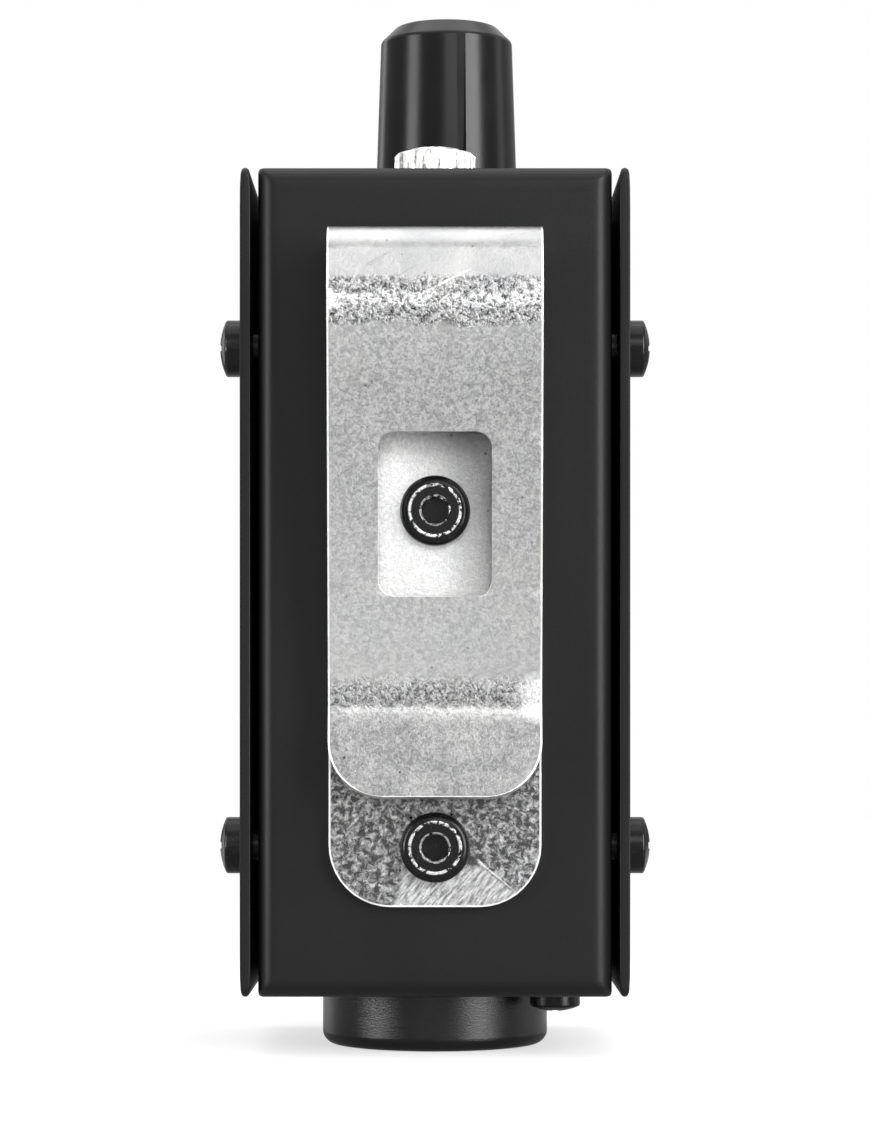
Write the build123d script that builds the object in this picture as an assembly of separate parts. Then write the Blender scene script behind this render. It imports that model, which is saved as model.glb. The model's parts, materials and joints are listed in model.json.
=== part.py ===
"""Wired personal-monitor belt pack: sheet-metal case with a belt clip, a volume knob and
a headphone jack on top, and an XLR socket below.  Millimetres.

Frame: +Z up, origin on the XLR socket's axis at its open rim, which is the lowest point.
-Y is the back, where the belt clip sits.  +X is to the right when the back is looked at.
"""
from build123d import *
from math import cos, pi, radians, sin
import os

# ---- case ---------------------------------------------------------------------------
CASE_WIDTH = 38.0           # across the cover, X
CASE_DEPTH = 38.0           # back panel to front face, Y
CASE_HEIGHT = 81.0          # along Z
SHEET = 1.0                 # steel sheet, cover and chassis
COVER_GAP = 0.7             # chassis side flange to cover wall
BEND = 1.9                  # outer bend radius
COVER_SETBACK = 0.2         # cover's back edges in front of the back panel
COVER_CORNER = 1.0
SIDE_FLANGE = 12.0          # depth of the chassis's side flanges
NOSE_LENGTH = 6.0           # XLR nose below the case

BACK = -CASE_DEPTH / 2
FRONT = CASE_DEPTH / 2
BOTTOM = NOSE_LENGTH
TOP = BOTTOM + CASE_HEIGHT
MIDDLE = (BOTTOM + TOP) / 2
INNER_BACK = BACK + SHEET
INNER_BOTTOM = BOTTOM + SHEET
INNER_TOP = TOP - SHEET
CHASSIS_HALF = CASE_WIDTH / 2 - SHEET - COVER_GAP
CHASSIS_FRONT = FRONT - SHEET - COVER_SETBACK

# ---- case fasteners -----------------------------------------------------------------
COVER_SCREW_Z = (MIDDLE - 25.85, MIDDLE + 23.4)
COVER_SCREW_Y = BACK + 7.0
COVER_HEAD_RADIUS = 2.8
COVER_HEAD_HEIGHT = 2.3
COVER_SCREW_LENGTH = 5.0
M3_RADIUS = 1.45
M3_HOLE = 1.7
CLINCH_HOLE = 2.1
CLINCH_FLANGE = (3.1, 1.5)  # radius and height of the nut's wide part

# ---- belt clip ----------------------------------------------------------------------
CLIP_WIDTH = 20.6
CLIP_SHEET = 1.0
CLIP_DATUM = BOTTOM + 40.25             # height that the clip is measured from
CLIP_BOTTOM = CLIP_DATUM - 31.3
CLIP_TOP = CLIP_DATUM + 34.1
CLIP_FOLD = 7.0             # outer depth of the top fold, and twice its outer radius
CLIP_FOLD_RADIUS = 2.6      # centreline radius of the fold's corners
CLIP_SPLIT = 0.32           # half the gap at the top of the fold
CLIP_RIDGE = (7.6, CLIP_DATUM + 28.0)       # (distance from the back, height) of the centreline
CLIP_CREASE = (2.4, CLIP_DATUM - 12.0)
CLIP_TONGUE = (4.6, CLIP_DATUM - 20.65)
CLIP_CORNER = 6.0
CLIP_TONGUE_CORNER = 5.4
WINDOW_WIDTH = 10.9
WINDOW_SPAN = (CLIP_DATUM - 1.3, CLIP_DATUM + 14.4)
WINDOW_CORNER = 1.6
CLIP_SCREW_Z = (CLIP_DATUM - 25.5, CLIP_DATUM + 7.05)
CLIP_HEAD_RADIUS = 3.4
CLIP_HEAD_HEIGHT = 1.85
CLIP_HEAD_EDGE = 0.8        # rounding of the head's rim
CLIP_SOCKET = 1.25          # hexagon socket, centre to flat
CLIP_SCREW_LENGTH = 6.0
CLIP_SHANK_RADIUS = 1.7
CLIP_WASHER = 0.8
CLIP_NUT = (6.0, 2.4)       # across flats and height

# ---- volume control -----------------------------------------------------------------
POT_X = 1.2
POT_Y = BACK + 26.0
POT_RADIUS = 8.25
SHAFT_RADIUS = 3.0
PRESS = 0.02                # radial gap between shaft and the pieces fixed to it
RUNNING = 0.05              # radial clearance of the shaft in its bushing
BUSHING_RADIUS = 3.5
BUSHING_TOP = TOP + 4.4
POT_WASHER = 0.6
POT_NUT = (10.0, 2.2)       # across flats and height
KNOB_BOTTOM = TOP + 0.6
KNOB_TOP = TOP + 18.5
KNOB_BASE_RADIUS = 7.4
KNOB_TOP_RADIUS = 6.8
KNOB_CHAMFER = 1.6
KNOB_EDGE = 0.6             # rounding above and below the chamfer
KNOB_SKIRT = (6.0, 5.0)     # radius and depth of the hollow over the nut
KNOB_BORE = (4.3, 15.6)     # radius and depth of the hole for the collet
KNOB_GROOVE = (0.9, 0.6)     # width and depth of the pointer
KNOB_GROOVE_ANGLE = 12.5
COLLET_RADIUS = 4.25
COLLET_SPAN = (KNOB_BOTTOM + 5.2, KNOB_BOTTOM + 15.4)
SHAFT_SPAN = (INNER_TOP - 14.6, KNOB_BOTTOM + 14.6)
SLOT_WIDTH = 0.8            # saw cuts in the collet and the shaft
PLATE_DEPTH = 3.0           # front plate of the volume control
CAN_WALL = 0.5
WAFER = 1.4
ROTOR_SPAN = (3.6, 1.6)     # lower and upper face below the middle of a wafer
TERMINAL = (2.0, 0.5)       # width and thickness of a solder tab

# ---- headphone jack -----------------------------------------------------------------
JACK_Y = BACK + 10.0
JACK_BORE = 1.8
JACK_THREAD = 2.85
JACK_TOP = TOP + 3.05
JACK_BORE_LENGTH = 9.0
JACK_NUT_RADIUS = 4.05
JACK_NUT_SPAN = (TOP + 0.3, TOP + 2.65)
JACK_KNURLS = 30
JACK_KNURL = 0.36           # side of the square cut that makes each knurl
JACK_FLANGE = (4.6, 1.4)    # radius and height of the bushing's flange
JACK_BLOCK = (10.0, 11.0)
JACK_BLOCK_LOW = INNER_TOP - 13.8
JACK_FIT = 0.05
JACK_TAIL = INNER_TOP - 18.0            # lower end of its solder tails
SPRING_X = 2.7              # contact spring's upright stretch
SPRING_SHEET = 0.3

# ---- XLR socket ---------------------------------------------------------------------
XLR_RADIUS = 11.5
XLR_BORE = 9.6
XLR_RIM = 1.3
XLR_DEPTH = 22.0
XLR_FLANGE = (31.0, 26.0, 2.0)
XLR_SCREWS = ((12.0, -9.5), (-12.0, 9.5))
XLR_HEAD_RADIUS = 2.5
XLR_HEAD_HEIGHT = 2.0
XLR_SHANK_RADIUS = 1.2
XLR_SCREW_LENGTH = 7.0
XLR_NUT = (5.0, 2.0)        # across flats and height
XLR_INSERT_RADIUS = 8.0
XLR_INSERT_FRONT = 0.8
XLR_INSERT_STEP = XLR_DEPTH - 6.0       # the insert fills the barrel above this
XLR_INSERT_TOP = XLR_DEPTH - 0.5
XLR_WASHER = 0.5
XLR_CONTACTS = ((2.25, 3.9), (2.25, -3.9), (-4.5, 0.0))
CONTACT_BORE = 1.25
CONTACT_RADIUS = 1.45
CONTACT_HOLE = 1.5
CONTACT_DEPTH = 12.0
CONTACT_FRONT = 1.2
CUP_RADIUS = 1.2
CUP_BORE = (0.8, 3.0)       # radius and depth
CUP_TOP = 27.0
FLANGE_TOP = INNER_BOTTOM + XLR_FLANGE[2]
TAB_X = (11.9, 14.4)
TAB_HALF = 3.5
TAB_CLEARANCE = 0.3
TAB_PROUD = 1.8             # push tab below the case
TAB_SHOULDER = (TAB_HALF + 1.1, 1.1)    # half width and height
WEDGE_X = 13.1              # outer side of the wedge's foot
WEDGE_HALF = 2.5
WEDGE_SUM = 24.47           # x + z along the wedge's sloping face
LATCH_X = 12.4              # centreline of the latch's leaf
LATCH_SHEET = 0.5
LATCH_HALF = 2.2
LATCH_FOOT = ((LATCH_X, 12.6), (LATCH_X + 1.1, 11.5))
LATCH_HOOK = (9.0, 14.0, 15.2)          # tip in x, lower and upper face
LATCH_WINDOW = (13.3, 15.5)
LATCH_PIVOT_Z = 21.0
BOSS_X = 10.8
BOSS_HALF = 2.5
RIVET_RADIUS = 0.6
RIVET_HEAD = (0.82, 1.1, 0.4)           # place along X, radius and thickness
LUG_X = -15.35              # upright tail of the ground lug
LUG_TOP = 16.0

# ---- wiring -------------------------------------------------------------------------
WIRE_RADIUS = 0.6
TERMINAL_Y = (POT_Y - 5.0, POT_Y, POT_Y + 5.0)
GANG_Z = (INNER_TOP - 3.7, INNER_TOP - 9.7)     # middle of each resistive wafer
GANG_TERMINAL_X = (-12.5, -9.5)                 # end of each gang's terminals


def block(x0, x1, y0, y1, z0, z1):
    """Rectangular solid between two corners."""
    size = (x1 - x0, y1 - y0, z1 - z0)
    return Pos((x0 + x1) / 2, (y0 + y1) / 2, (z0 + z1) / 2) * Box(*size)


def post(x, y, z0, z1, radius):
    """Upright round solid."""
    return Pos(x, y, (z0 + z1) / 2) * Cylinder(radius, z1 - z0)


def ring(x, y, z0, z1, outer, inner):
    """Upright tube or washer."""
    return post(x, y, z0, z1, outer) - post(x, y, z0 - 1, z1 + 1, inner)


def hex_nut(across_flats, height, bore):
    """Hexagon nut standing on the XY plane, edges eased."""
    nut = extrude(RegularPolygon(across_flats / 2, 6, major_radius=False), height)
    nut = nut & Pos(0, 0, height / 2) * chamfer(
        Cylinder(across_flats * 0.57, height).edges().filter_by(GeomType.CIRCLE), 0.35)
    return nut - Pos(0, 0, height / 2) * Cylinder(bore, height + 1)


def pan_screw(head_radius, head_height, shank_radius, shank_length):
    """Cross-recess screw with a straight-sided, domed head above the XY plane."""
    rim = head_height * 0.72
    rise = head_height - rim
    dome = (head_radius ** 2 + rise ** 2) / (2 * rise)
    head = Pos(0, 0, head_height / 2) * Cylinder(head_radius, head_height)
    head = head & Pos(0, 0, head_height - dome) * Sphere(dome)
    circles = head.edges().filter_by(lambda edge: edge.is_closed)
    head = fillet(circles.group_by(Axis.Z)[-1], head_height * 0.12)
    recess_length = head_radius * 1.15
    recess_width = head_radius * 0.24
    recess_depth = head_height * 0.55
    for size in ((recess_length, recess_width), (recess_width, recess_length)):
        head -= Pos(0, 0, head_height) * Box(size[0], size[1], recess_depth * 2)
    shank = Pos(0, 0, -shank_length / 2) * Cylinder(shank_radius, shank_length)
    return head + shank


def socket_screw(head_radius, head_height, shank_radius, shank_length):
    """Low-head screw with a hexagon socket: head above the XY plane."""
    head = Pos(0, 0, head_height / 2) * Cylinder(head_radius, head_height)
    head = fillet(head.edges().group_by(Axis.Z)[-1], CLIP_HEAD_EDGE)
    socket = RegularPolygon(CLIP_SOCKET, 6, major_radius=False)
    socket_floor = head_height * 0.3
    head -= Pos(0, 0, socket_floor) * extrude(socket, head_height)
    mouth = Pos(0, 0, head_height) * Cone(CLIP_SOCKET, CLIP_SOCKET + 0.5, 0.5)
    shank = Pos(0, 0, -shank_length / 2) * Cylinder(shank_radius, shank_length)
    return head - mouth + shank


def upright_profile(thickness, points, radii, y_half):
    """Strip of even thickness that follows a path in the XZ plane, centred on Y = 0."""
    path = FilletPolyline(*points, radius=radii)
    plane = Plane(origin=(0, y_half, 0), x_dir=(1, 0, 0), z_dir=(0, -1, 0))
    return extrude(plane * trace(path, line_width=thickness), 2 * y_half)


# ---- case ---------------------------------------------------------------------------
def tray_form(half_width, back, front, bottom, top, bend):
    """Block whose four back edges are rounded."""
    form = block(-half_width, half_width, back, front, bottom, top)
    return fillet(form.faces().sort_by(Axis.Y)[0].edges(), bend)


def rear_chassis():
    """Tray: back panel with top, bottom and shorter side flanges, closed at its corners."""
    tray = tray_form(CHASSIS_HALF, BACK, CHASSIS_FRONT, BOTTOM, TOP, BEND)
    tray -= tray_form(CHASSIS_HALF - SHEET, INNER_BACK, FRONT + 1, INNER_BOTTOM, INNER_TOP,
                      BEND - SHEET)
    tray -= block(-CASE_WIDTH, CASE_WIDTH, BACK + SIDE_FLANGE, FRONT + 1, INNER_BOTTOM, INNER_TOP)
    return tray - chassis_holes()


def chassis_holes():
    """Everything punched in the chassis."""
    holes = post(0, 0, BOTTOM - 1, INNER_BOTTOM + 1, XLR_RADIUS + 0.2)
    holes += block(TAB_X[0] - 1.5, TAB_X[1] + TAB_CLEARANCE, -TAB_HALF - TAB_CLEARANCE,
                   TAB_HALF + TAB_CLEARANCE, BOTTOM - 1, INNER_BOTTOM + 1)
    for x, y in XLR_SCREWS:
        holes += post(x, y, BOTTOM - 1, INNER_BOTTOM + 1, XLR_SHANK_RADIUS + 0.2)
    holes += post(POT_X, POT_Y, INNER_TOP - 1, TOP + 1, BUSHING_RADIUS + 0.15)
    holes += post(0, JACK_Y, INNER_TOP - 1, TOP + 1, JACK_THREAD + 0.15)
    for z in CLIP_SCREW_Z:
        holes += Pos(0, BACK, z) * Rot(90, 0, 0) * Cylinder(CLIP_SHANK_RADIUS + 0.2, 4)
    for z in COVER_SCREW_Z:
        holes += Pos(0, COVER_SCREW_Y, z) * Rot(0, 90, 0) * Cylinder(CLINCH_HOLE, CASE_WIDTH + 4)
    return holes


def front_cover():
    """U-shaped cover: front face and both side walls."""
    shell = block(-CASE_WIDTH / 2, CASE_WIDTH / 2, BACK + COVER_SETBACK, FRONT, BOTTOM, TOP)
    shell = fillet(shell.edges().filter_by(Axis.Z).group_by(Axis.Y)[-1], BEND)
    inside = block(-CASE_WIDTH / 2 + SHEET, CASE_WIDTH / 2 - SHEET, BACK - 5, FRONT - SHEET,
                   BOTTOM - 1, TOP + 1)
    shell -= fillet(inside.edges().filter_by(Axis.Z).group_by(Axis.Y)[-1], BEND - SHEET)
    shell = fillet(shell.edges().filter_by(Axis.X).group_by(Axis.Y)[0], COVER_CORNER)
    for z in COVER_SCREW_Z:
        shell -= Pos(0, COVER_SCREW_Y, z) * Rot(0, 90, 0) * Cylinder(M3_HOLE, CASE_WIDTH + 4)
    return shell


def cover_screws():
    """Two screws in each side wall."""
    screw = pan_screw(COVER_HEAD_RADIUS, COVER_HEAD_HEIGHT, M3_RADIUS, COVER_SCREW_LENGTH)
    places = [(side, z) for side in (-1, 1) for z in COVER_SCREW_Z]
    return [Pos(side * CASE_WIDTH / 2, COVER_SCREW_Y, z) * Rot(0, 90 * side, 0) * screw
            for side, z in places]


def cover_clinch_nuts():
    """Pressed-in nuts that stand inside the chassis's side flanges."""
    wide, height = CLINCH_FLANGE
    bore = M3_RADIUS + 0.05
    nut = ring(0, 0, 0, height, wide, bore)
    nut += ring(0, 0, height, height + SHEET, CLINCH_HOLE - 0.05, bore)
    start = CHASSIS_HALF - SHEET - height
    places = [(side, z) for side in (-1, 1) for z in COVER_SCREW_Z]
    return [Pos(side * start, COVER_SCREW_Y, z) * Rot(0, 90 * side, 0) * nut
            for side, z in places]


# ---- belt clip ----------------------------------------------------------------------
def clip_strip(points, radii):
    """Clip steel along a path of (distance from the back, height) points."""
    path = FilletPolyline(*points, radius=radii)
    plane = Plane(origin=(CLIP_WIDTH / 2, BACK, 0), x_dir=(0, -1, 0), z_dir=(-1, 0, 0))
    return extrude(plane * trace(path, line_width=CLIP_SHEET), CLIP_WIDTH)


def end_outline(z_bottom, corner):
    """Tall prism with round lower corners that trims a strip's lower end."""
    height = CLIP_TOP + 5 - z_bottom
    prism = Pos(0, BACK, z_bottom + height / 2) * Box(CLIP_WIDTH, 40, height)
    return fillet(prism.edges().filter_by(Axis.Y).group_by(Axis.Z)[0], corner)


def clip_base_plate():
    """Plate on the back panel, with the inner half of the top fold."""
    centre = CLIP_SHEET / 2
    top = CLIP_TOP - centre
    points = [(centre, CLIP_BOTTOM), (centre, top), (CLIP_FOLD / 2 - CLIP_SPLIT, top)]
    plate = clip_strip(points, CLIP_FOLD_RADIUS) & end_outline(CLIP_BOTTOM, CLIP_CORNER)
    for z in CLIP_SCREW_Z:
        plate -= Pos(0, BACK, z) * Rot(90, 0, 0) * Cylinder(CLIP_SHANK_RADIUS + 0.15, 4)
    return plate


def clip_spring_leaf():
    """Outer half of the fold, the windowed leaf, its crease and the flared tongue."""
    top = CLIP_TOP - CLIP_SHEET / 2
    points = [(CLIP_FOLD / 2 + CLIP_SPLIT, top), (CLIP_FOLD - 0.45, top), CLIP_RIDGE,
              CLIP_CREASE, CLIP_TONGUE]
    leaf = clip_strip(points, (CLIP_FOLD_RADIUS, 3.0, 2.5))
    leaf = leaf & end_outline(CLIP_TONGUE[1], CLIP_TONGUE_CORNER)
    low, high = WINDOW_SPAN
    window = Pos(0, BACK, (low + high) / 2) * Box(WINDOW_WIDTH, 40, high - low)
    return leaf - fillet(window.edges().filter_by(Axis.Y), WINDOW_CORNER)


def clip_screws():
    """Two screws through the clip's plate."""
    screw = socket_screw(CLIP_HEAD_RADIUS, CLIP_HEAD_HEIGHT, CLIP_SHANK_RADIUS, CLIP_SCREW_LENGTH)
    face = BACK - CLIP_SHEET
    return [Pos(0, face, z) * Rot(90, 0, 0) * screw for z in CLIP_SCREW_Z]


def clip_lock_washers():
    """Split washers under the clip's nuts."""
    washer = ring(0, 0, 0, CLIP_WASHER, CLIP_NUT[0] / 2, CLIP_SHANK_RADIUS + 0.15)
    washer -= block(0, 4, -0.3, 0.3, -1, 2)
    return [Pos(0, INNER_BACK, z) * Rot(-90, 0, 0) * washer for z in CLIP_SCREW_Z]


def clip_nuts():
    """Hexagon nuts on the clip's screws, inside the case."""
    nut = hex_nut(*CLIP_NUT, CLIP_SHANK_RADIUS + 0.05)
    return [Pos(0, INNER_BACK + CLIP_WASHER, z) * Rot(-90, 0, 0) * nut for z in CLIP_SCREW_Z]


# ---- volume control -----------------------------------------------------------------
def volume_knob():
    """Tapered knob with a chamfered crown, a pointer groove and a hollow skirt."""
    height = KNOB_TOP - KNOB_BOTTOM
    body = Cone(KNOB_BASE_RADIUS, KNOB_TOP_RADIUS, height)
    body = chamfer(body.edges().group_by(Axis.Z)[-1], KNOB_CHAMFER)
    body = fillet(body.edges().filter_by(GeomType.CIRCLE).group_by(Axis.Z)[1:], KNOB_EDGE)
    body = Pos(POT_X, POT_Y, (KNOB_BOTTOM + KNOB_TOP) / 2) * body
    for radius, depth in (KNOB_SKIRT, KNOB_BORE):
        body -= post(POT_X, POT_Y, KNOB_BOTTOM - 1, KNOB_BOTTOM + depth, radius)
    width, depth = KNOB_GROOVE
    groove = Pos(0, -KNOB_BASE_RADIUS, height / 2) * Box(width, 2 * depth, height * 3)
    return body - Pos(POT_X, POT_Y, KNOB_BOTTOM) * Rot(0, 0, KNOB_GROOVE_ANGLE) * groove


def saw_cut(x0, x1, z0, z1):
    """Slot along X through the axis of the volume control."""
    return block(x0, x1, POT_Y - SLOT_WIDTH / 2, POT_Y + SLOT_WIDTH / 2, z0, z1)


def knob_collet():
    """Split brass sleeve pressed into the knob, gripping the shaft."""
    sleeve = ring(POT_X, POT_Y, *COLLET_SPAN, COLLET_RADIUS, SHAFT_RADIUS + PRESS)
    return sleeve - saw_cut(POT_X, POT_X + COLLET_RADIUS + 1, TOP, COLLET_SPAN[0] + 6.8)


def pot_shaft():
    """Slotted shaft, running down through both gangs."""
    shaft = post(POT_X, POT_Y, *SHAFT_SPAN, SHAFT_RADIUS)
    shaft = chamfer(shaft.edges().group_by(Axis.Z)[-1], 0.5)
    return shaft - saw_cut(POT_X - SHAFT_RADIUS - 1, POT_X + SHAFT_RADIUS + 1,
                           SHAFT_SPAN[1] - 8, SHAFT_SPAN[1] + 1)


def pot_bushing_plate():
    """Die-cast front plate with the threaded bushing."""
    plate = post(POT_X, POT_Y, INNER_TOP - PLATE_DEPTH, INNER_TOP, POT_RADIUS)
    plate += post(POT_X, POT_Y, INNER_TOP - 0.5, BUSHING_TOP, BUSHING_RADIUS)
    return plate - post(POT_X, POT_Y, INNER_TOP - PLATE_DEPTH - 1, BUSHING_TOP + 1,
                        SHAFT_RADIUS + RUNNING)


def pot_lock_washer():
    """Toothed washer on the panel."""
    radius = POT_NUT[0] / 2 + 0.3
    washer = ring(POT_X, POT_Y, TOP, TOP + POT_WASHER, radius, BUSHING_RADIUS + 0.1)
    teeth = 12
    for i in range(teeth):
        notch = Pos(radius, 0, 0) * Box(0.8, 1.0, 4)
        washer -= Pos(POT_X, POT_Y, TOP) * Rot(0, 0, 360 / teeth * i) * notch
    return washer


def pot_nut():
    """Hexagon nut on the bushing, hidden in the knob's skirt."""
    return Pos(POT_X, POT_Y, TOP + POT_WASHER) * hex_nut(*POT_NUT, BUSHING_RADIUS + 0.05)


def pot_wafers():
    """Phenolic wafers that carry the resistive tracks."""
    return [ring(POT_X, POT_Y, z - WAFER / 2, z + WAFER / 2, POT_RADIUS - 0.3, SHAFT_RADIUS + 0.8)
            for z in GANG_Z]


def pot_terminals():
    """Three tinned tabs for each gang."""
    half_width, half_height = TERMINAL[0] / 2, TERMINAL[1] / 2
    tabs = []
    for z, end in zip(GANG_Z, GANG_TERMINAL_X):
        for y in TERMINAL_Y:
            nearest = max(abs(y - POT_Y) - half_width, 0)
            start = POT_X - (POT_RADIUS ** 2 - nearest ** 2) ** 0.5
            tab = block(end, start, y - half_width, y + half_width, z - half_height, z + half_height)
            tab = fillet(tab.edges().filter_by(Axis.Z).group_by(Axis.X)[0], half_width * 0.8)
            tabs.append(tab)
    return tabs


def pot_cans():
    """Drawn cans below each wafer; the lower one is closed."""
    cans = []
    for z, closed in zip(GANG_Z, (False, True)):
        rim = z - WAFER / 2 - 0.05
        foot = rim - 4.45
        can = ring(POT_X, POT_Y, foot, rim, POT_RADIUS, POT_RADIUS - CAN_WALL)
        if closed:
            can += post(POT_X, POT_Y, foot - CAN_WALL, foot, POT_RADIUS)
        cans.append(can)
    return cans


def pot_rotors():
    """Moulded rotors keyed to the shaft."""
    return [ring(POT_X, POT_Y, z - ROTOR_SPAN[0], z - ROTOR_SPAN[1], 6.8, SHAFT_RADIUS + PRESS)
            for z in GANG_Z]


def pot_wipers():
    """Sprung wiper on each rotor, just clear of the track."""
    wipers = []
    for z in GANG_Z:
        foot = z - ROTOR_SPAN[1]
        arc = ring(POT_X, POT_Y, foot, foot + 0.2, 6.6, 4.4)
        arc -= block(POT_X - POT_RADIUS, POT_X + POT_RADIUS, POT_Y - POT_RADIUS, POT_Y + 3.0,
                     foot - 1, z)
        arc += post(POT_X, POT_Y + 5.5, foot + 0.1, z - WAFER / 2 - 0.1, 0.5)
        wipers.append(arc)
    return wipers


# ---- headphone jack -----------------------------------------------------------------
def jack_bushing():
    """Nickel sleeve that clamps the jack to the panel and is its sleeve contact."""
    sleeve = post(0, JACK_Y, JACK_TOP - JACK_BORE_LENGTH, JACK_TOP, JACK_THREAD)
    sleeve = chamfer(sleeve.edges().group_by(Axis.Z)[-1], 0.35)
    radius, height = JACK_FLANGE
    sleeve += post(0, JACK_Y, INNER_TOP - height, INNER_TOP, radius)
    return sleeve - post(0, JACK_Y, JACK_TOP - JACK_BORE_LENGTH - 1, JACK_TOP + 1, JACK_BORE)


def jack_nut():
    """Knurled round nut on the panel."""
    z0, z1 = JACK_NUT_SPAN
    nut = post(0, JACK_Y, z0, z1, JACK_NUT_RADIUS)
    nut = chamfer(nut.edges().filter_by(GeomType.CIRCLE), 0.3)
    nut -= post(0, JACK_Y, z0 - 1, z1 + 1, JACK_THREAD + JACK_FIT)
    for i in range(JACK_KNURLS):
        cut = Pos(JACK_NUT_RADIUS + 0.02, 0, 0) * Rot(0, 0, 45) * Box(JACK_KNURL, JACK_KNURL, 20)
        nut -= Pos(0, JACK_Y, z0) * Rot(0, 0, 360 / JACK_KNURLS * i) * cut
    return nut


def jack_washer():
    """Flat washer below the knurled nut."""
    return ring(0, JACK_Y, TOP, JACK_NUT_SPAN[0], JACK_NUT_RADIUS - 0.15, JACK_THREAD + 0.1)


def jack_contact_slots():
    """Slots in the jack's moulding for its contact springs and its sleeve lug."""
    low = JACK_BLOCK_LOW - 1
    slots = Part()
    for side in (-1, 1):
        x0, x1 = sorted((side * (SPRING_X - 0.8), side * (SPRING_X + 0.5)))
        slots += block(x0, x1, JACK_Y - 1.3, JACK_Y + 1.3, low, INNER_TOP - 5.5)
    return slots + block(-1.3, 1.3, JACK_Y + 4.0, JACK_Y + 4.7, low, INNER_TOP)


def jack_body():
    """Moulded block with the plug's tunnel."""
    width, depth = JACK_BLOCK
    body = block(-width / 2, width / 2, JACK_Y - depth / 2, JACK_Y + depth / 2,
                 JACK_BLOCK_LOW, INNER_TOP - JACK_FLANGE[1] - JACK_FIT)
    body = fillet(body.edges().filter_by(Axis.Z), 1.0)
    body -= post(0, JACK_Y, JACK_BLOCK_LOW + JACK_BORE, INNER_TOP, JACK_BORE + 0.4)
    body -= post(0, JACK_Y, JACK_TOP - JACK_BORE_LENGTH - 0.1, INNER_TOP, JACK_THREAD + JACK_FIT)
    return body - jack_contact_slots()


def jack_spring(side):
    """Contact leaf with a bump that the plug presses, and its solder tail."""
    upright = side * SPRING_X
    bump = side * (JACK_BORE + 0.45)
    points = [(upright, JACK_TAIL), (upright, INNER_TOP - 11.0), (bump, INNER_TOP - 8.4),
              (upright, INNER_TOP - 6.4)]
    return Pos(0, JACK_Y, 0) * upright_profile(SPRING_SHEET, points, 0.8, 1.0)


def jack_sleeve_lug():
    """Tail of the sleeve contact, down the front of the moulding."""
    y0 = JACK_Y + 4.15
    return block(-1, 1, y0, y0 + 0.35, JACK_TAIL, INNER_TOP - JACK_FLANGE[1] - 0.1)


# ---- XLR socket ---------------------------------------------------------------------
def xlr_shell():
    """Die-cast shell: nose through the panel, flange inside it, open barrel."""
    barrel = post(0, 0, 0, XLR_DEPTH, XLR_RADIUS)
    barrel = fillet(barrel.edges().group_by(Axis.Z)[0], XLR_RIM)
    width, depth, _ = XLR_FLANGE
    flange = block(-width / 2, width / 2, -depth / 2, depth / 2, INNER_BOTTOM, FLANGE_TOP)
    shell = barrel + fillet(flange.edges().filter_by(Axis.Z), 2.0)
    rivet_hole = RIVET_RADIUS + 0.02
    shell += block(BOSS_X, LATCH_X - 0.4, -BOSS_HALF, BOSS_HALF, LATCH_PIVOT_Z - RIVET_RADIUS,
                   LATCH_PIVOT_Z + RIVET_RADIUS)
    shell -= post(0, 0, -1, XLR_DEPTH + 1, XLR_BORE)
    shell -= block(TAB_X[0] - 0.25, TAB_X[1] + TAB_CLEARANCE, -TAB_HALF - TAB_CLEARANCE,
                   TAB_HALF + TAB_CLEARANCE, -1, FLANGE_TOP + 0.01)
    shell -= block(8.0, LATCH_X, -LATCH_HALF - 0.1, LATCH_HALF + 0.1, *LATCH_WINDOW)
    shell -= Pos(LATCH_X, 0, LATCH_PIVOT_Z) * Rot(0, 90, 0) * Cylinder(rivet_hole, 8)
    for x, y in XLR_SCREWS:
        shell -= post(x, y, INNER_BOTTOM - 1, FLANGE_TOP + 1, XLR_SHANK_RADIUS + 0.1)
    return shell


def xlr_insert():
    """Moulded insert that holds the contacts, thicker at its back."""
    insert = post(0, 0, XLR_INSERT_FRONT, XLR_INSERT_STEP, XLR_INSERT_RADIUS)
    insert = fillet(insert.edges().group_by(Axis.Z)[0], 0.4)
    insert += post(0, 0, XLR_INSERT_STEP, XLR_INSERT_TOP, XLR_BORE - 0.05)
    for x, y in XLR_CONTACTS:
        insert -= post(x, y, 0, XLR_DEPTH + 1, CONTACT_HOLE)
    return insert


def xlr_contacts():
    """Socket contacts with solder cups."""
    contacts = []
    cup_bore, cup_depth = CUP_BORE
    for x, y in XLR_CONTACTS:
        contact = post(x, y, CONTACT_FRONT, XLR_INSERT_TOP, CONTACT_RADIUS)
        contact += post(x, y, XLR_INSERT_TOP, CUP_TOP, CUP_RADIUS)
        contact -= post(x, y, 0, CONTACT_FRONT + CONTACT_DEPTH, CONTACT_BORE)
        contact -= post(x, y, CUP_TOP - cup_depth, CUP_TOP + 1, cup_bore)
        contacts.append(contact)
    return contacts


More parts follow.
